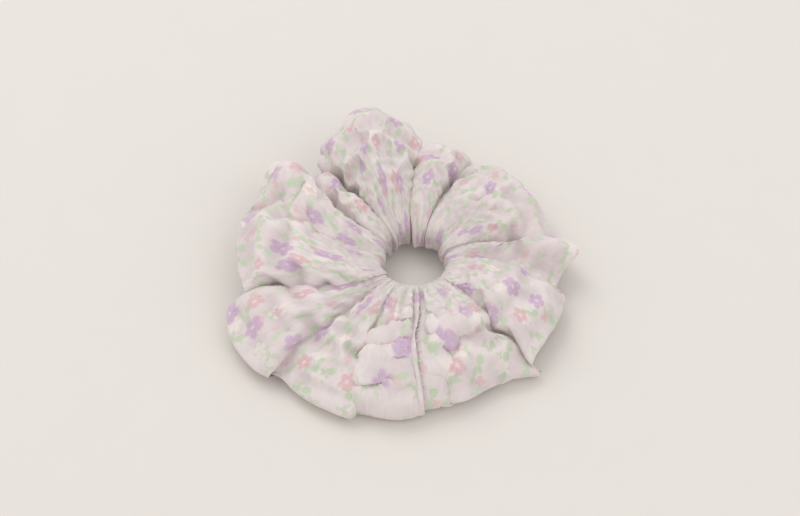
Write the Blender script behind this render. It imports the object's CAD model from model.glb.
"""The scrunchie's look: gathered, settled cloth round its elastic loop, with seams, stitches and a faded floral print.

Metres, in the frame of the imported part: +Z up, the origin on the opening's axis, the closing seam at -Y.
"""

import math

import bpy
import numpy as np
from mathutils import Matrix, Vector


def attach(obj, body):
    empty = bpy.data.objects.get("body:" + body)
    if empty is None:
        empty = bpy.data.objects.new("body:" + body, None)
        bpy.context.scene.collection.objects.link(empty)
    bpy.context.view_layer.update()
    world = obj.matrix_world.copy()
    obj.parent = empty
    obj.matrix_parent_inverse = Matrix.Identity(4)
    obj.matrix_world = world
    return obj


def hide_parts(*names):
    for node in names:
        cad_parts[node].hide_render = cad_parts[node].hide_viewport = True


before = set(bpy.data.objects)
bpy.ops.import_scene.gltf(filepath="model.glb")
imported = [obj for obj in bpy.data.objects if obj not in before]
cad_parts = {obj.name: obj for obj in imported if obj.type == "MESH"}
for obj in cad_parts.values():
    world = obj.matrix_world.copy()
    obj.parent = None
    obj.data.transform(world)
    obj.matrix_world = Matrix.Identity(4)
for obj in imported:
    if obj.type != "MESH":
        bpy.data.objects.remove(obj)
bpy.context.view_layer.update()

MM = 0.001
PRINT_LENGTH = 500.0  # how much of the print, in mm, goes along the tube
PRINT_GIRTH = 112.0  # and how much goes round it
SECTION = 104.0  # the way round one section of the gathered tube, in mm
ELASTIC_REACH = 15.0  # the radius, in mm, from which the puffs start
SEAM_OUTSIDE, SEAM_INSIDE = 270.0, 272.0  # the seam valley's azimuth at the edge and near the opening

# The simulated grid and the finished one, as faces along and round the strip, and how many of the finished one's
# columns the tucked end laps over.
COLUMNS, ROWS = 440, 80
FINE_COLUMNS, FINE_ROWS = 740, 128
OVERLAP = 5

# Each puff, anticlockwise from the closing seam, in mm and degrees: the crest's azimuth at the edge and near the
# opening, its share of the cloth, reach, crest height, edge height, how pointed, then the valley after it: its
# azimuth at the edge and near the opening, its reach, how deep it is beside its crests, and how far this puff leans
# over the next one (or, below zero, the next one over this).
CREST_OUTSIDE, CREST_INSIDE, SHARE, REACH, CREST, TIP, POINTED = range(7)
VALLEY_OUTSIDE, VALLEY_INSIDE, DIP, DEPTH, LEAN = range(7, 12)
PUFFS = np.array(
    [
        (291.0, 291.0, 1.15, 58.0, 20.0, 4.0, 0.8, 313.0, 310.0, 64.0, 0.85, -0.25),
        (324.0, 330.0, 1.00, 56.0, 23.0, 7.0, 0.8, 345.0, 345.0, 47.0, 0.25, 0.0),
        (361.0, 355.0, 0.90, 54.0, 24.0, 13.0, 4.0, 372.0, 366.0, 45.0, 0.8, 0.4),
        (409.0, 398.0, 1.20, 53.0, 24.0, 9.0, 1.7, 421.0, 427.0, 44.0, 0.8, 0.25),
        (434.0, 440.0, 0.90, 52.0, 23.0, 12.0, 1.2, 449.0, 455.0, 42.0, 0.8, -0.25),
        (468.0, 475.0, 1.30, 60.0, 35.0, 24.0, 2.0, 487.0, 492.0, 43.0, 0.9, 0.3),
        (494.0, 506.0, 0.70, 50.0, 23.0, 12.0, 0.9, 500.0, 516.0, 48.0, 0.7, -0.2),
        (507.0, 530.0, 0.80, 60.0, 27.0, 18.0, 1.6, 521.0, 548.0, 59.0, 0.12, 0.0),
        (535.0, 562.0, 1.00, 62.0, 26.0, 13.0, 0.8, 554.0, 580.0, 57.0, 0.8, 0.35),
        (571.0, 588.0, 1.15, 69.0, 20.0, 5.0, 0.9, 584.0, 592.0, 66.0, 0.5, 0.15),
        (595.0, 599.0, 0.85, 66.0, 18.0, 4.0, 0.9, 609.0, 606.0, 62.0, 0.5, 0.15),
        (619.0, 619.0, 0.80, 59.0, 17.0, 4.0, 0.9, 630.0, 632.0, 56.0, 0.35, 0.0),
    ]
)

# How far round the section each of its points lies, from the opening's wall over the top and back underneath.
AROUND = np.array([0, 5, 9.5, 19, 29.5, 41.5, 52, 59, 70, 81, 93.5, 98.5, SECTION]) / SECTION


def smoothed(values, sigma, axis, closed=True):
    """A Gaussian mean along one axis. A closed axis repeats its first column as its last."""
    reach = int(4 * sigma) + 1
    taps = np.arange(-reach, reach + 1)
    weights = np.exp(-0.5 * (taps / sigma) ** 2)
    weights /= weights.sum()
    count = values.shape[axis]
    at = np.arange(-reach, count + reach)
    at = at % (count - 1) if closed else np.clip(at, 0, count - 1)
    padded = np.take(values, at, axis)
    return sum(w * np.take(padded, np.arange(count) + i, axis) for i, w in enumerate(weights))


def eased(x):
    """0 below 0, 1 above 1, and a smooth step between."""
    x = np.clip(x, 0.0, 1.0)
    return x * x * (3.0 - 2.0 * x)


def gathered(columns, rows, seed=3):
    """The tube as it is gathered, as points over (along the strip, round the strip), in mm.

    Along the strip each puff is an arch: with the place p from -1 to 1 between two valleys, azimuth follows the
    sine of p, with the sine of twice it added where a puff leans, and height and reach follow one less a power of
    |p|. Round the strip the section runs from the opening's wall over the crest to the outer edge and back
    underneath, a mix of a crest's and a valley's section. Each of their points has a radius, a share of the way from
    the elastic to the reach, and a height. Near the front the rim is lower and the opening wider. Small pleats and
    creases, sines of the place along the strip, fade away from the opening.
    """
    rng = np.random.default_rng(seed)
    count = len(PUFFS)
    share = PUFFS[:, SHARE] / PUFFS[:, SHARE].sum()
    edge = np.r_[0.0, np.cumsum(share)]
    along = np.linspace(0.0, 1.0, columns + 1)
    puff = np.clip(np.searchsorted(edge, along, side="right") - 1, 0, count - 1)
    before = (puff - 1) % count
    place = (along - 0.5 * (edge[1:] + edge[:-1])[puff]) / (share[puff] / 2.0)
    first = place < 0.0
    lean = np.where(first, np.minimum(PUFFS[before, LEAN], 0.0), np.maximum(PUFFS[puff, LEAN], 0.0))
    swing = np.sin(0.5 * np.pi * place) + np.abs(lean) * np.sin(np.pi * place)
    arch = np.maximum(1.0 - np.abs(place) ** (2.6 / PUFFS[puff, POINTED]), 0.0) ** 0.9

    def azimuth(crest, valley, start):
        """Swings from the valley before the puff, over its crest, to the valley after it."""
        low = np.r_[start, PUFFS[:-1, valley]][puff]
        top = PUFFS[puff, crest]
        return top + swing * np.where(first, top - low, PUFFS[puff, valley] - top)

    outside = azimuth(CREST_OUTSIDE, VALLEY_OUTSIDE, SEAM_OUTSIDE)
    inside = azimuth(CREST_INSIDE, VALLEY_INSIDE, SEAM_INSIDE)
    reach, crest, tip = PUFFS[puff, REACH], PUFFS[puff, CREST], PUFFS[puff, TIP]
    dip = np.where(first, PUFFS[before, DIP], PUFFS[puff, DIP])
    deep = np.where(first, PUFFS[before, DEPTH], PUFFS[puff, DEPTH])
    deep = deep * place**2 + 1.0 - place**2
    arch = 1.0 - deep * (1.0 - arch)
    one = np.ones_like(reach)
    out, low = reach - ELASTIC_REACH, dip - ELASTIC_REACH
    front = 0.5 - 0.5 * np.sin(np.radians(inside))
    inner = 9.4 + 3.7 * front**2
    crest_r = [inner, inner + 0.4, 15.0, 15 + 0.25 * out, 15 + 0.52 * out, 15 + 0.82 * out, reach, 15 + 0.9 * out]
    crest_r += [15 + 0.6 * out, 15 + 0.3 * out, 15.5, inner + 0.7, inner]
    slope = 0.1 * front
    crest_z = [8.0, 12.0 - front, 16.5 - 4.2 * front, (0.3 + slope) * (17 - 3 * front) + (0.7 - slope) * crest]
    crest_z += [crest - 0.16 * front * (crest - tip), 0.5 * (crest + tip) + 3.5 - 2.5 * front, tip + 1.0]
    crest_z += [np.maximum(tip - 3, 1.5), np.maximum(crest - 11, 2.0), np.maximum(crest - 12, 2.0), 2.5, 3.0, 8.0]
    valley_r = [inner - 0.2, inner + 0.3, 15.0, 19 + 0.05 * low, 15 + 0.45 * low, 15 + 0.75 * low, dip, 15 + 0.88 * low]
    valley_r += [15 + 0.6 * low, 15 + 0.35 * low, 15.0, inner + 0.5, inner - 0.2]
    valley_z = [8.0, 12.4 - 1.4 * front, 13.0 - 0.6 * front, 11.5, 6.5, 5.0, 3.2, 1.6, 0.9, 0.8, 1.2, 3.0, 8.0]
    around = np.linspace(0.0, 1.0, rows + 1)
    left = np.clip(np.searchsorted(AROUND, around, side="right") - 1, 0, len(AROUND) - 2)
    part = (around - AROUND[left]) / (AROUND[left + 1] - AROUND[left])

    def section(points):
        """One section's points as rows, straight between those in the list, over (along, round)."""
        table = np.stack([one * point for point in points], 1)
        return table[:, left] * (1.0 - part) + table[:, left + 1] * part

    top_r, top_z, low_r, low_z = (section(x) for x in (crest_r, crest_z, valley_r, valley_z))
    radius = low_r + (top_r - low_r) * arch[:, None]
    height = low_z + (top_z - low_z) * arch[:, None]
    angle = inside[:, None] + (outside - inside)[:, None] * eased((radius - 18.0) / 38.0)

    inward = np.minimum(around, 1.0 - around) * SECTION
    drift = smoothed(np.cumsum(rng.normal(0.0, 1.0, columns + 1)), 6.0, 0, closed=False)
    drift -= drift[0] + along * (drift[-1] - drift[0])
    pleat = np.sin(2 * np.pi * 22.0 * along + 0.6 * drift)[:, None]
    behind = 1.0 - front[:, None]
    depth = (0.35 + 2.3 * behind) * (1.0 + 0.25 * np.sin(2 * np.pi * 7.0 * along + 1.0))[:, None]
    depth = depth * np.exp(-((np.maximum(inward - 9.0, 0.0) / 9.0) ** 2))
    wall = np.exp(-((inward / 6.0) ** 2))
    radius = radius - depth * wall * pleat
    crease = np.abs(np.sin(np.pi * 13.0 * along + 0.4 * drift))[:, None] - 0.64
    height = height + 0.5 * depth * (1.0 - wall) * (1.0 + pleat)
    height = height + 1.6 * crease * np.exp(-(((inward - 20.0) / 11.0) ** 2)) * (around < 0.5)
    turn = np.radians(angle)
    points = np.stack([radius * np.cos(turn), radius * np.sin(turn), height], -1)
    return smoothed(points, 1.6 * columns / 384, 0)


def evened(points, columns):
    """The same tube with its columns the same distance apart, on the mean of its outer rows.

    The distance along the outer rows is added up, and each new column is the mix of two old ones at its share of it.
    """
    rows = points.shape[1] - 1
    outer = slice(rows // 4, rows - rows // 4)
    step = np.sqrt((np.linalg.norm(np.diff(points[:, outer], axis=0), axis=-1) ** 2).mean(1))
    step = smoothed(np.r_[step, step[0]], 6.0, 0)[:-1]
    gone = np.r_[0.0, np.cumsum(step)]
    at = np.interp(np.linspace(0.0, gone[-1], columns + 1), gone, np.arange(len(gone)))
    low = np.minimum(at.astype(int), len(gone) - 2)
    part = (at - low)[:, None, None]
    points = points[low] * (1.0 - part) + points[low + 1] * part
    points = smoothed(smoothed(points, 1.2 * columns / 320, 0), 1.2 * rows / 64, 1)
    points[-1], points[:, -1] = points[0], points[:, 0]
    points[..., 2] = np.maximum(points[..., 2], 0.6)
    return points


def grid_faces(columns, rows):
    """The quads of a grid with one more point each way than it has faces."""
    index = np.arange((columns + 1) * (rows + 1)).reshape(columns + 1, rows + 1)
    return np.stack([index[:-1, :-1], index[1:, :-1], index[1:, 1:], index[:-1, 1:]], -1).reshape(-1, 4)


def new_mesh(name, points, faces):
    """A smooth-shaded mesh object from arrays of points and faces."""
    mesh = bpy.data.meshes.new(name)
    mesh.from_pydata(points.reshape(-1, 3).tolist(), [], faces.tolist())
    mesh.shade_smooth()
    made = bpy.data.objects.new(name, mesh)
    bpy.context.scene.collection.objects.link(made)
    return made


def square(name, half):
    """A level square at the origin, twice half on each side."""
    corners = [(-half, -half, 0.0), (half, -half, 0.0), (half, half, 0.0), (-half, half, 0.0)]
    return new_mesh(name, np.array(corners), np.array([[0, 1, 2, 3]]))


def settle(points, frames=16, scale=20.0):
    """Lets the gathered cloth settle on the floor, and returns its points.

    The cloth's rest state is the gathered shape, grown by 9% where it isn't taut, so that it buckles in soft
    wrinkles. It's taut and held at the opening's wall and at the closing seam, and guided weakly elsewhere. The
    simulated mesh has its faces turned inwards, and the pressure on them is too slight to change the shape much.
    """
    size = scale * MM
    columns, rows = points.shape[0] - 1, points.shape[1] - 1
    cloth = new_mesh("settling", points * size, grid_faces(columns, rows))
    inward = np.minimum(np.arange(rows + 1), rows - np.arange(rows + 1)) * (SECTION / rows)
    hold = np.repeat((1.0 - 0.7 * eased((inward - 10.0) / 24.0))[None, :], columns + 1, 0)
    from_seam = np.minimum(np.arange(columns + 1), columns - np.arange(columns + 1)) / columns
    beside_seam = np.exp(-((from_seam / 0.022) ** 2))[:, None]
    hold = np.maximum(hold, beside_seam)
    taut = np.maximum(beside_seam, np.exp(-((inward / 14.0) ** 2))[None, :])
    for name, weights in (("held", hold), ("taut", taut)):
        weights = np.round(weights, 2).reshape(-1)
        weighted = cloth.vertex_groups.new(name=name)
        for weight in np.unique(weights):
            weighted.add(np.flatnonzero(weights == weight).tolist(), float(weight), "REPLACE")

    modifier = cloth.modifiers.new("Cloth", "CLOTH")
    fabric, contact = modifier.settings, modifier.collision_settings
    fabric.quality = 5
    fabric.mass = 0.3
    fabric.tension_stiffness = fabric.compression_stiffness = 20.0
    fabric.shear_stiffness = 5.0
    fabric.bending_stiffness = 25.0
    fabric.tension_damping = fabric.compression_damping = fabric.shear_damping = 5.0
    fabric.bending_damping = 0.5
    fabric.air_damping = 2.0
    fabric.vertex_group_mass = "held"
    fabric.vertex_group_shrink = "taut"
    fabric.shrink_min, fabric.shrink_max = -0.09, 0.0
    fabric.use_pressure = True
    fabric.uniform_pressure_force = 0.08
    contact.distance_min = 0.01

    table = square("table", 9.0)
    table.modifiers.new("Collision", "COLLISION")
    table.collision.thickness_outer = 0.01
    scene = bpy.context.scene
    scene.frame_start, scene.frame_end = 1, frames
    modifier.point_cache.frame_start, modifier.point_cache.frame_end = 1, frames
    for number in range(1, frames + 1):
        scene.frame_set(number)
    settled = cloth.evaluated_get(bpy.context.evaluated_depsgraph_get()).to_mesh()
    found = np.empty(len(settled.vertices) * 3, np.float32)
    settled.vertices.foreach_get("co", found)
    found = found.astype(float).reshape(points.shape) / size
    bpy.data.objects.remove(cloth)
    bpy.data.objects.remove(table)
    scene.frame_set(1)
    return found


def resampled(points, columns, rows):
    """The same surface on a finer grid, by Catmull-Rom curves along each axis in turn."""
    for axis, count in ((0, columns), (1, rows)):
        have = points.shape[axis]
        at = np.linspace(0.0, have - 1.0, count + 1)
        base = np.clip(at.astype(int), 0, have - 2)
        t = (at - base).reshape([-1 if i == axis else 1 for i in range(points.ndim)])
        p0, p1, p2, p3 = (np.take(points, np.clip(base + k, 0, have - 1), axis) for k in (-1, 0, 1, 2))
        slope = 0.5 * (p2 - p0)
        bend = p0 - 2.5 * p1 + 2.0 * p2 - 0.5 * p3
        twist = 0.5 * (p3 - p0) + 1.5 * (p1 - p2)
        points = p1 + t * (slope + t * (bend + t * twist))
    return points


def normals_of(points):
    """Unit normals of a grid, outwards from the tube."""
    cross = np.cross(np.gradient(points, axis=0), np.gradient(points, axis=1))
    return -cross / np.maximum(np.linalg.norm(cross, axis=-1, keepdims=True), 1e-9)


def rumpled(points, seed=11):
    """Adds the rumple of thin crumpled cloth, along the surface's own normals.

    Creases come from the absolute value of smoothed noise, which is sharp where the noise crosses zero; crinkle is
    the plain smoothed noise at smaller sizes.
    """
    rng = np.random.default_rng(seed)

    def noise(sigma):
        """Smoothed random numbers over the grid, with a spread of 1."""
        made = smoothed(smoothed(rng.normal(0.0, 1.0, points.shape[:2]), 1.3 * sigma, 0), sigma, 1)
        return made / made.std()

    height = sum(size * np.sqrt(noise(sigma) ** 2 + 0.01) for sigma, size in ((18.0, 1.5), (9.0, 0.6)))
    height = height - height.mean()
    height += sum(size * noise(sigma) for sigma, size in ((1.5, 0.05), (3.0, 0.13)))
    spacing = np.linalg.norm(np.gradient(points, axis=0), axis=-1)
    spread = smoothed(smoothed(spacing, 6.0, 0), 6.0, 1)
    return points + (height * eased(spread / 0.62))[..., None] * normals_of(points)


def flap_lift(count):
    """How high the tucked end stands over the other, in mm, over the points round the strip: level, with eased ends."""
    row = np.linspace(0.0, 1.0, count)
    return 1.3 * eased((row - 0.06) / 0.05) * eased((0.53 - row) / 0.02)


def drawn_out(points, azimuth, pull, spread=5.0):
    """Draws a puff's tip out along its azimuth, by a Gaussian of the angle from it, eased in from 44 mm out."""
    turn = np.degrees(np.arctan2(points[..., 1], points[..., 0]))
    away = (turn - azimuth + 180.0) % 360.0 - 180.0
    share = np.exp(-((away / spread) ** 2)) * eased((np.hypot(points[..., 0], points[..., 1]) - 44.0) / 12.0)
    ahead = np.array([math.cos(math.radians(azimuth)), math.sin(math.radians(azimuth)), 0.0])
    return points + pull * share[..., None] * ahead


def tucked(points):
    """The tucks beside the closing seam, the flap that widens from them, and the folds on both sides.

    Each tuck is a ridge along the surface's normals, a Gaussian along the strip in an eased window round it, and the
    outer edge's two folds are ridges the other way about. The flap before the seam and the puff's upper layer after
    it are raised by a steep eased step at their edges.
    """
    columns, rows = points.shape[0] - 1, points.shape[1] - 1
    column, row = np.arange(columns + 1)[:, None], np.arange(rows + 1)[None, :] / rows
    column = np.where(column > columns / 2, column - columns, column)
    window = eased((row - 0.09) / 0.07) * eased((0.34 - row) / 0.08)
    ridges = sum(size * np.exp(-(((column - at) / 2.8) ** 2)) for at, size in ((-19, 1.2), (-10, 2.2), (14, 0.9)))
    beside = eased((column + 75.0) / 12.0) * eased((-3.0 - column) / 4.0)
    folds = sum(size * np.exp(-(((row - at) / 0.012) ** 2)) for at, size in ((0.36, 0.9), (0.43, 1.0)))
    after = eased((column - 8.0) / 6.0) * eased((80.0 - column) / 14.0)
    bend = 0.335 + 0.02 * np.sin(column / 11.0)
    upper = 1.5 * after * eased((row - 0.14) / 0.14) * eased((bend - row) / 0.014)
    width = 15.0 + 27.0 * eased((row - 0.24) / 0.07)
    late = np.arange(columns + 1)[:, None] > columns / 2
    flap = eased((column + width) / 2.2) * late * flap_lift(points.shape[1])
    height = ridges * window + folds * beside + upper + flap
    return points + height[..., None] * normals_of(points)


def overlapped(points, columns):
    """Carries the strip's last end on over its first, as the tucked end at the closing seam.

    The added columns follow the first ones, a cloth's thickness and more outside them, then turn under and go back
    a little way, which makes the end's folded edge.
    """
    out = np.arange(1, columns + 1)
    back = np.array([columns - 1, columns - 3])
    lifts = np.r_[np.ones(columns), 0.45, 0.25][:, None] * (flap_lift(points.shape[1]) + 0.25)[None, :]
    row = np.arange(points.shape[1])[None, :]
    at = np.r_[out, back][:, None] + 0.8 + 0.8 * np.sin(0.19 * row) * np.cos(0.083 * row)
    low = at.astype(int)
    mix = (at - low)[..., None]
    under = points[low, row] * (1.0 - mix) + points[low + 1, row] * mix
    lifts = lifts * (1.0 + 0.15 * np.sin(0.31 * row + 1.0))
    added = under + lifts[..., None] * normals_of(points)[low, row]
    return np.concatenate([points, added])


def kept_clear(points, low=4.4, high=12.3, inner=13.6, outer=17.8):
    """Moves points that lie in the space of the elastic to the nearest side of that space.

    The space is a ring between two heights and two radii, in mm. The least of a point's four distances to them says
    which side is nearest, and is above zero only inside.
    """
    radius = np.hypot(points[..., 0], points[..., 1])
    height = points[..., 2]
    gaps = np.stack([radius - inner, outer - radius, height - low, high - height], -1)
    inside = gaps.min(-1) > 0.0
    side = gaps.argmin(-1)
    to_radius = np.where(side == 0, inner, np.where(side == 1, outer, radius))
    to_height = np.where(side == 2, low, np.where(side == 3, high, height))
    grow = np.where(inside, to_radius / np.maximum(radius, 1e-6), 1.0)[..., None]
    moved = points * np.concatenate([grow, grow, np.ones_like(grow)], -1)
    moved[..., 2] = np.where(inside, to_height, height)
    return moved


# Cloth

points = evened(gathered(4 * COLUMNS, ROWS), COLUMNS)
points = settle(points)
points = resampled(points, FINE_COLUMNS, FINE_ROWS)
points[-1], points[:, -1] = points[0], points[:, 0]
points = rumpled(points)
points = tucked(drawn_out(drawn_out(points, 2.0, 4.0), 108.0, 2.5, 8.0))
seam_points, seam_normals = points[: OVERLAP + 8].copy(), normals_of(points)[: OVERLAP + 8]
points = kept_clear(overlapped(points, OVERLAP))
points[..., 2] = np.maximum(points[..., 2], 0.15)

# How far each point stands out from the mean of those round it: above zero on a rim, below it in a crease.
mean = smoothed(smoothed(points, 2.2, 0, closed=False), 2.2, 1)
fold = np.clip(((points - mean) * normals_of(points)).sum(-1) / 0.7, -1.0, 1.0)

outward_faces = grid_faces(points.shape[0] - 1, FINE_ROWS)[:, ::-1]
cover = new_mesh("printed_cover", points * MM, outward_faces)
across = np.arange(points.shape[0]) / FINE_COLUMNS
round_it = np.linspace(0, PRINT_GIRTH / PRINT_LENGTH, FINE_ROWS + 1)
uv = np.stack(np.meshgrid(across, round_it, indexing="ij"), -1).reshape(-1, 2)
loops = np.empty(len(cover.data.loops), np.int32)
cover.data.loops.foreach_get("vertex_index", loops)
folds = cover.data.attributes.new("fold", "FLOAT", "POINT")
folds.data.foreach_set("value", fold.astype(np.float32).reshape(-1))
layer = cover.data.uv_layers.new(name="strip")
layer.data.foreach_set("uv", uv[loops].astype(np.float32).reshape(-1))


# Materials

HALF_TURN, FULL_TURN = 3.1416, 6.283
WEAVE_PITCH = 0.45  # between two threads of the cloth, in mm


class Nodes:
    """Short ways to add and join nodes in one tree."""

    def __init__(self, tree):
        self.tree = tree

    def add(self, kind, inputs=(), **settings):
        """A new node, with its settings and inputs."""
        node = self.tree.nodes.new(kind)
        for name, value in settings.items():
            setattr(node, name, value)
        for name, value in dict(inputs).items():
            self.put(node.inputs[name], value)
        return node

    def put(self, socket, value):
        """Joins a socket to another, or gives it a value."""
        if isinstance(value, bpy.types.NodeSocket):
            self.tree.links.new(value, socket)
        else:
            socket.default_value = value

    def math(self, operation, a, b=0.0, c=0.0, clamp=False):
        """A Math node's result."""
        node = self.add("ShaderNodeMath", {0: a, 1: b, 2: c}, operation=operation, use_clamp=clamp)
        return node.outputs[0]

    def vector(self, operation, a, b=(0.0, 0.0, 0.0), scale=1.0):
        """A Vector Math node's result: a number for a length or dot product, else a vector."""
        node = self.add("ShaderNodeVectorMath", {0: a}, operation=operation)
        self.put(node.inputs[3 if operation == "SCALE" else 1], scale if operation == "SCALE" else b)
        return node.outputs[1 if operation in ("LENGTH", "DOT_PRODUCT") else 0]

    def ramp(self, value, low, high, to_low=0.0, to_high=1.0):
        """value, from low to high, as a smooth step from to_low to to_high."""
        settings = {"Value": value, "From Min": low, "From Max": high, "To Min": to_low, "To Max": to_high}
        return self.add("ShaderNodeMapRange", settings, interpolation_type="SMOOTHSTEP").outputs["Result"]

    def mix(self, share, a, b, blend="MIX"):
        """Two colours mixed, with the second's share and the way they blend."""
        node = self.add("ShaderNodeMix", data_type="RGBA", blend_type=blend)
        self.put(node.inputs[0], share)
        self.put(node.inputs[6], a)
        self.put(node.inputs[7], b)
        return node.outputs[2]


def group(name, inputs, outputs):
    """A new shader node group with named sockets, as (tree, its Nodes, input sockets, output node)."""
    tree = bpy.data.node_groups.new(name, "ShaderNodeTree")
    for socket, kind in inputs.items():
        tree.interface.new_socket(socket, in_out="INPUT", socket_type=kind)
    for socket, kind in outputs.items():
        tree.interface.new_socket(socket, in_out="OUTPUT", socket_type=kind)
    nodes = Nodes(tree)
    return tree, nodes, nodes.add("NodeGroupInput").outputs, nodes.add("NodeGroupOutput").inputs


def motif_group():
    """Scattered motifs: each cell of a Voronoi pattern may hold one, turned and sized at random.

    The motif's edge is Radius * (Waist + (1 - Waist) * |cos(Petals / 2 * angle)| ** Sharp) from its middle.
    """
    numbers = ("Cell", "Seed", "Radius", "Petals", "Waist", "Sharp", "Share", "Soft")
    sockets = {"Vector": "NodeSocketVector"} | {name: "NodeSocketFloat" for name in numbers}
    tree, n, given, made = group("scattered motif", sockets, {"Mask": "NodeSocketFloat", "Middle": "NodeSocketFloat"})
    scaled = n.vector("SCALE", given["Vector"], scale=n.math("DIVIDE", 1.0, given["Cell"]))
    shift = n.add("ShaderNodeCombineXYZ", {"X": given["Seed"], "Y": n.math("MULTIPLY", given["Seed"], 1.7)}).outputs[0]
    scaled = n.vector("ADD", scaled, shift)
    cells = n.add("ShaderNodeTexVoronoi", {"Vector": scaled, "Scale": 1.0, "Randomness": 0.75}, voronoi_dimensions="2D")
    local = n.vector("SCALE", n.vector("SUBTRACT", scaled, cells.outputs["Position"]), scale=given["Cell"])
    parts = n.add("ShaderNodeSeparateXYZ", {0: local})
    chance = n.add("ShaderNodeSeparateColor", {0: cells.outputs["Color"]})
    angle = n.math("ARCTAN2", parts.outputs["Y"], parts.outputs["X"])
    angle = n.math("MULTIPLY_ADD", chance.outputs["Red"], FULL_TURN, angle)
    wave = n.math("ABSOLUTE", n.math("COSINE", n.math("MULTIPLY", angle, n.math("MULTIPLY", given["Petals"], 0.5))))
    wave = n.math("POWER", wave, given["Sharp"])
    edge = n.math("MULTIPLY_ADD", wave, n.math("SUBTRACT", 1.0, given["Waist"]), given["Waist"])
    size = n.math("MULTIPLY", given["Radius"], n.ramp(chance.outputs["Green"], 0.0, 1.0, 0.8, 1.15))
    edge = n.math("MULTIPLY", edge, size)
    flat = n.add("ShaderNodeCombineXYZ", {"X": parts.outputs["X"], "Y": parts.outputs["Y"]}).outputs[0]
    away = n.vector("LENGTH", flat)
    blur = n.add("ShaderNodeTexNoise", {"Vector": given["Vector"], "Scale": 1.3, "Detail": 2.0}).outputs["Fac"]
    away = n.math("MULTIPLY_ADD", n.math("SUBTRACT", blur, 0.5), 1.1, away)
    inside = n.math("DIVIDE", n.math("SUBTRACT", edge, away), given["Soft"])
    inside = n.ramp(inside, -0.5, 0.5)
    there = n.math("LESS_THAN", chance.outputs["Blue"], given["Share"])
    wash = n.ramp(blur, 0.3, 0.7, 0.65, 1.0)
    n.put(made["Mask"], n.math("MULTIPLY", n.math("MULTIPLY", inside, there), wash))
    n.put(made["Middle"], n.math("MULTIPLY", n.ramp(away, 0.9, 0.3), there))
    return tree


def print_group(motif):
    """The floral print: lavender and pink blossoms with pale middles, small white ones, and pairs of green leaves."""
    tree, n, given, made = group(
        "floral print", {"Vector": "NodeSocketVector", "Cloth": "NodeSocketColor"}, {"Color": "NodeSocketColor"}
    )
    layers = [
        # cell, seed, radius, petals, waist, sharp, share, soft, tint, strength
        (7.6, 3.3, 3.1, 2.0, 0.0, 2.3, 0.66, 1.2, (0.72, 0.95, 0.68, 1.0), 1.0),
        (6.0, 9.1, 2.1, 3.0, 0.0, 1.6, 0.45, 1.1, (0.77, 0.96, 0.73, 1.0), 0.9),
        (14.0, 5.2, 2.7, 5.0, 0.5, 0.8, 0.7, 0.8, (1.13, 1.13, 1.08, 1.0), 1.0),
        (16.0, 1.4, 3.1, 5.0, 0.6, 0.8, 0.6, 1.3, (0.96, 0.66, 0.71, 1.0), 0.95),
        (12.0, 2.6, 1.7, 4.0, 0.5, 0.8, 0.45, 0.9, (0.97, 0.76, 0.77, 1.0), 0.9),
        (14.5, 7.7, 3.6, 5.0, 0.6, 0.7, 0.72, 1.15, (0.79, 0.61, 0.87, 1.0), 1.0),
    ]
    mottle = n.add("ShaderNodeTexNoise", {"Vector": given["Vector"], "Scale": 0.085, "Detail": 3.0, "Distortion": 0.6})
    thin = n.mix(1.0, given["Cloth"], (1.05, 1.05, 1.04, 1.0), "MULTIPLY")
    thick = n.mix(1.0, given["Cloth"], (0.95, 0.925, 0.935, 1.0), "MULTIPLY")
    colour = n.mix(n.ramp(mottle.outputs["Fac"], 0.38, 0.62), thin, thick)
    for cell, seed, radius, petals, waist, sharp, share, soft, tint, strength in layers:
        scatter = n.add("ShaderNodeGroup", node_tree=motif)
        values = {"Vector": given["Vector"], "Cell": cell, "Seed": seed, "Radius": radius, "Petals": petals}
        values |= {"Waist": waist, "Sharp": sharp, "Share": share, "Soft": soft}
        for name, value in values.items():
            n.put(scatter.inputs[name], value)
        tinted = n.mix(1.0, given["Cloth"], tint, "MULTIPLY")
        colour = n.mix(n.math("MULTIPLY", scatter.outputs["Mask"], strength), colour, tinted)
        if petals == 5.0:
            pale = n.mix(1.0, given["Cloth"], (1.08, 1.06, 1.04, 1.0), "MULTIPLY")
            colour = n.mix(n.math("MULTIPLY", scatter.outputs["Middle"], 0.7), colour, pale)
    n.put(made["Color"], colour)
    return tree


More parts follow.
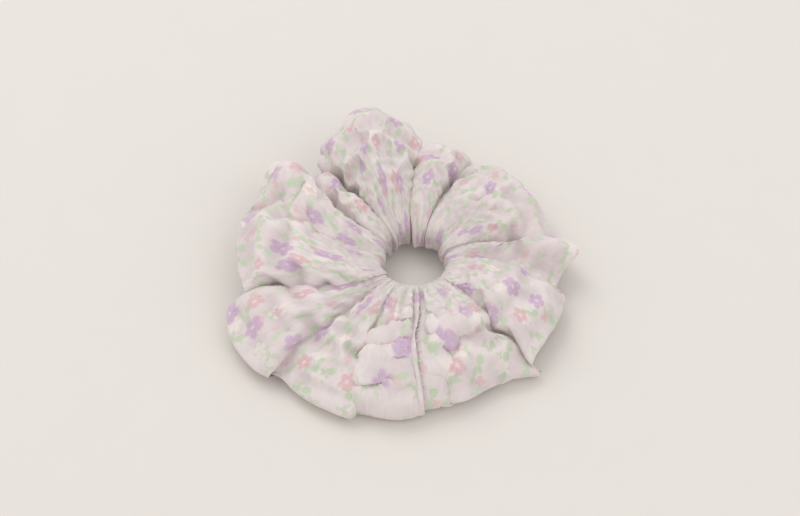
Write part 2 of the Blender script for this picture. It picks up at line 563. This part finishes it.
def weave_group():
    """Fine woven cloth, as a height and a shade: two crossed waves at the thread's pitch, slubs and a soft crinkle."""
    tree, n, given, made = group(
        "crinkled weave",
        {"Vector": "NodeSocketVector", "Pitch": "NodeSocketFloat"},
        {"Height": "NodeSocketFloat", "Shade": "NodeSocketFloat"},
    )
    parts = n.add("ShaderNodeSeparateXYZ", {0: given["Vector"]})
    turns = n.math("DIVIDE", HALF_TURN, given["Pitch"])
    across = n.math("ABSOLUTE", n.math("SINE", n.math("MULTIPLY", parts.outputs["X"], turns)))
    along = n.math("ABSOLUTE", n.math("SINE", n.math("MULTIPLY", parts.outputs["Y"], turns)))
    threads = n.math("MULTIPLY", n.math("ADD", across, along), 0.5)
    stretch = n.vector("MULTIPLY", given["Vector"], (1.0, 0.35, 1.0))
    slub = n.add("ShaderNodeTexNoise", {"Vector": stretch, "Scale": 1.1, "Detail": 3.0}).outputs["Fac"]
    crinkle = n.add(
        "ShaderNodeTexNoise", {"Vector": given["Vector"], "Scale": 0.42, "Detail": 4.0, "Distortion": 0.8}
    ).outputs["Fac"]
    height = n.math("MULTIPLY_ADD", threads, 0.12, n.math("MULTIPLY", slub, 0.35))
    n.put(made["Height"], n.math("MULTIPLY_ADD", crinkle, 1.0, height))
    shade = n.math("MULTIPLY_ADD", n.math("SUBTRACT", slub, 0.5), 0.16, 1.0)
    n.put(made["Shade"], n.math("MULTIPLY_ADD", n.math("SUBTRACT", crinkle, 0.5), 0.1, shade))
    return tree


def strip_vector(n):
    """A piece's place on the flat strip, in mm, from its UV map."""
    uv_map = n.add("ShaderNodeUVMap", uv_map="strip")
    return n.vector("SCALE", uv_map.outputs["UV"], scale=PRINT_LENGTH)


def new_material(name):
    """An empty node material, as (material, its Nodes)."""
    material = bpy.data.materials.new(name)
    material.use_nodes = True
    material.node_tree.nodes.clear()
    return material, Nodes(material.node_tree)


def cloth_material(printing, weave, cloth=(0.825, 0.748, 0.748, 1.0)):
    """Sheer crinkled cloth: a matte sheen in front, and some of the light from behind."""
    material, n = new_material("printed_voile")
    place = strip_vector(n)
    flowers = n.add("ShaderNodeGroup", node_tree=printing)
    n.put(flowers.inputs["Vector"], place)
    n.put(flowers.inputs["Cloth"], cloth)
    threads = n.add("ShaderNodeGroup", node_tree=weave)
    n.put(threads.inputs["Vector"], place)
    n.put(threads.inputs["Pitch"], WEAVE_PITCH)
    shade = n.add("ShaderNodeCombineColor", {i: threads.outputs["Shade"] for i in range(3)}).outputs[0]
    colour = n.mix(1.0, flowers.outputs["Color"], shade, "MULTIPLY")
    fold = n.add("ShaderNodeAttribute", attribute_name="fold").outputs["Fac"]
    crease = n.math("MULTIPLY", n.math("MULTIPLY", fold, -1.0, clamp=True), 0.35)
    rim = n.math("MULTIPLY", n.math("MULTIPLY", fold, 1.0, clamp=True), 0.5)
    colour = n.mix(crease, colour, n.mix(1.0, colour, (0.76, 0.72, 0.73, 1.0), "MULTIPLY"))
    colour = n.mix(rim, colour, n.mix(1.0, colour, (1.12, 1.12, 1.11, 1.0), "MULTIPLY"))
    bump = n.add("ShaderNodeBump", {"Strength": 0.5, "Distance": 0.0005, "Height": threads.outputs["Height"]})
    skin = n.add(
        "ShaderNodeBsdfPrincipled",
        {
            "Base Color": colour,
            "Roughness": 0.82,
            "Sheen Weight": 0.6,
            "Sheen Roughness": 0.5,
            "Specular IOR Level": 0.25,
            "Normal": bump.outputs["Normal"],
        },
    )
    through = n.add("ShaderNodeBsdfTranslucent", {"Color": colour, "Normal": bump.outputs["Normal"]})
    both = n.add("ShaderNodeMixShader", {0: 0.12, 1: skin.outputs[0], 2: through.outputs[0]})
    n.add("ShaderNodeOutputMaterial", {"Surface": both.outputs[0]})
    return material


def tubes(paths, radius, sides=6):
    """Round threads: a circle of the given radius carried along each path, over (path, place, side), ends closed.

    The circle stands square to the path: its two axes are the path's direction crossed with up, and that crossed
    with the direction again. At both ends it shrinks to a point.
    """
    paths = np.asarray(paths, float)
    ahead = np.gradient(paths, axis=1)
    ahead /= np.linalg.norm(ahead, axis=-1, keepdims=True)
    aside = np.cross(ahead, (0.13, 0.29, 0.95))
    aside /= np.linalg.norm(aside, axis=-1, keepdims=True)
    above = np.cross(aside, ahead)
    turn = np.linspace(0.0, 2.0 * np.pi, sides, endpoint=False)
    size = radius * np.r_[0.02, np.ones(paths.shape[1] - 2), 0.02]
    ring = np.cos(turn)[:, None] * aside[:, :, None] + np.sin(turn)[:, None] * above[:, :, None]
    made = paths[:, :, None] + size[None, :, None, None] * ring
    count, places = paths.shape[:2]
    index = np.arange(count * places * sides).reshape(count, places, sides)
    turned = np.roll(index, -1, 2)
    faces = np.stack([index[:, :-1], index[:, 1:], turned[:, 1:], turned[:, :-1]], -1)
    return made, faces.reshape(-1, 4)


# Closing stitches: short threads over the tucked end's folded edge.
STITCH_ROWS = np.arange(16, 60, 4)
STITCH_RADIUS, FRAY_RADIUS = 0.14, 0.06
t = np.linspace(0.0, 1.0, 7)
from_column, to_column, to_rows = OVERLAP + 2, OVERLAP - 3, STITCH_ROWS + 2
start = seam_points[from_column, STITCH_ROWS] + 0.1 * seam_normals[from_column, STITCH_ROWS]
end = seam_points[to_column, to_rows] + 1.7 * seam_normals[to_column, to_rows]
rise = 0.35 * np.sin(np.pi * t)[None, :, None] * seam_normals[OVERLAP, STITCH_ROWS][:, None]
stitch_paths = start[:, None] + (end - start)[:, None] * t[None, :, None] + rise
stitch_points, stitch_faces = tubes(stitch_paths, STITCH_RADIUS)
stitches = new_mesh("closing_stitches", stitch_points * MM, stitch_faces)

# Frayed threads at the lower end of the tucked edge.
FRAYS = 7
rng = np.random.default_rng(5)
root = seam_points[OVERLAP, np.linspace(58, 66, FRAYS).astype(int)] + 0.5 * seam_normals[OVERLAP, 62]
lead = [rng.uniform(low, high, FRAYS) for low, high in ((0.2, 1.0), (-1.0, -0.2), (-0.1, 0.5))]
lead = np.stack(lead, -1)
curl = rng.normal(0.0, 1.0, (FRAYS, 3)) * 0.8
sway = (np.sin(2.5 * t) * t)[None, :, None]
fray_paths = root[:, None] + 2.6 * t[None, :, None] * lead[:, None] + sway * curl[:, None]
fray_paths[..., 2] = np.maximum(fray_paths[..., 2], 0.2)
fray_points, fray_faces = tubes(fray_paths, FRAY_RADIUS, 5)
fray = new_mesh("frayed_threads", fray_points * MM, fray_faces)


def thread_group():
    """Twisted thread: a slanting wave over the piece's place, as a height and a shade."""
    sockets = {"Vector": "NodeSocketVector", "Pitch": "NodeSocketFloat"}
    tree, n, given, made = group("twisted thread", sockets, {"Height": "NodeSocketFloat", "Shade": "NodeSocketFloat"})
    parts = n.add("ShaderNodeSeparateXYZ", {0: given["Vector"]})
    slant = n.math("ADD", n.math("ADD", parts.outputs["X"], parts.outputs["Y"]), parts.outputs["Z"])
    wave = n.math("SINE", n.math("DIVIDE", n.math("MULTIPLY", slant, FULL_TURN), given["Pitch"]))
    fuzz = n.add("ShaderNodeTexNoise", {"Vector": given["Vector"], "Scale": 900.0, "Detail": 3.0}).outputs["Fac"]
    n.put(made["Height"], n.math("MULTIPLY_ADD", fuzz, 0.6, n.math("MULTIPLY", wave, 0.4)))
    ply = n.math("MULTIPLY_ADD", wave, 0.05, 0.97)
    n.put(made["Shade"], n.math("MULTIPLY_ADD", n.math("SUBTRACT", fuzz, 0.5), 0.3, ply))
    return tree


def yarn_material(name, twist, colour, pitch, roughness, depth, sheen):
    """Spun or moulded strands: the twist group's height and shade at the given pitch, in metres."""
    material, n = new_material(name)
    place = n.add("ShaderNodeTexCoord").outputs["Object"]
    turned = n.add("ShaderNodeGroup", node_tree=twist)
    n.put(turned.inputs["Vector"], place)
    n.put(turned.inputs["Pitch"], pitch)
    shade = n.add("ShaderNodeCombineColor", {i: turned.outputs["Shade"] for i in range(3)}).outputs[0]
    bump = n.add("ShaderNodeBump", {"Strength": 0.6, "Distance": depth, "Height": turned.outputs["Height"]})
    skin = n.add(
        "ShaderNodeBsdfPrincipled",
        {
            "Base Color": n.mix(1.0, colour, shade, "MULTIPLY"),
            "Roughness": roughness,
            "Sheen Weight": sheen,
            "Normal": bump.outputs["Normal"],
        },
    )
    n.add("ShaderNodeOutputMaterial", {"Surface": skin.outputs[0]})
    return material


def finish_node(name, material):
    """Gives a CAD piece its material."""
    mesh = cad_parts[name].data
    mesh.materials.clear()
    mesh.materials.append(material)


twist = thread_group()
thread = yarn_material("sewing_thread", twist, (0.86, 0.83, 0.80, 1.0), 0.0004, 0.65, 0.00008, 0.2)
braid = yarn_material("elastic_braid_yarn", twist, (0.88, 0.87, 0.85, 1.0), 0.0009, 0.8, 0.0002, 0.3)
rubber = yarn_material("rubber_strand", twist, (0.78, 0.72, 0.60, 1.0), 0.004, 0.45, 0.00005, 0.0)
for node in ("tube_seam_thread", "elastic_join_thread"):
    finish_node(node, thread)
finish_node("elastic_braid", braid)
finish_node("rubber_cores", rubber)
for piece in (stitches, fray):
    piece.data.materials.append(thread)
    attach(piece, "cover")
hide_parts("closing_seam_thread")

motifs = motif_group()
cover.data.materials.append(cloth_material(print_group(motifs), weave_group()))
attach(cover, "cover")
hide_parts("fabric_cover")


# Stage

floor = square("floor", 4.0)
paper, n = new_material("pale_paper")
grain = n.add("ShaderNodeTexNoise", {"Vector": n.add("ShaderNodeTexCoord").outputs["Object"], "Scale": 60.0})
tone = n.mix(grain.outputs["Fac"], (0.785, 0.752, 0.716, 1.0), (0.80, 0.767, 0.731, 1.0))
page = n.add("ShaderNodeBsdfPrincipled", {"Base Color": tone, "Roughness": 0.9, "Specular IOR Level": 0.1})
n.add("ShaderNodeOutputMaterial", {"Surface": page.outputs[0]})
floor.data.materials.append(paper)


def aim(thing, place, target):
    """Puts a light or camera in place, turned to its target."""
    thing.location = place
    thing.rotation_euler = (Vector(target) - Vector(place)).to_track_quat("-Z", "Y").to_euler()


def soft_light(name, place, size, power):
    """A round area light, turned to the origin."""
    lamp = bpy.data.lights.new(name, "AREA")
    lamp.shape, lamp.size, lamp.energy = "DISK", size, power
    lamp.color = (1.0, 0.99, 0.975)
    holder = bpy.data.objects.new(name, lamp)
    bpy.context.scene.collection.objects.link(holder)
    aim(holder, place, (0.0, 0.0, 0.0))


soft_light("softbox", (-0.55, 0.75, 1.25), 1.1, 6.0)
soft_light("fill", (0.9, -0.6, 1.1), 1.2, 2.5)
sky = bpy.data.worlds.new("studio")
sky.use_nodes = True
sky.node_tree.nodes["Background"].inputs["Color"].default_value = (1.0, 0.985, 0.97, 1.0)
sky.node_tree.nodes["Background"].inputs["Strength"].default_value = 0.79
bpy.context.scene.world = sky
bpy.context.scene.view_settings.view_transform = "Standard"

ELEVATION = math.radians(50.0)
DISTANCE = 0.62
VIEW_ANGLE = math.radians(25.6)
middle = Vector((-4.9, 8.2, 0.0)) * MM
camera = bpy.data.objects.new("camera", bpy.data.cameras.new("camera"))
camera.data.angle = VIEW_ANGLE
camera.data.clip_start = 0.01
bpy.context.scene.collection.objects.link(camera)
aim(camera, middle + Vector((0.0, -math.cos(ELEVATION), math.sin(ELEVATION))) * DISTANCE, middle)
bpy.context.scene.camera = camera
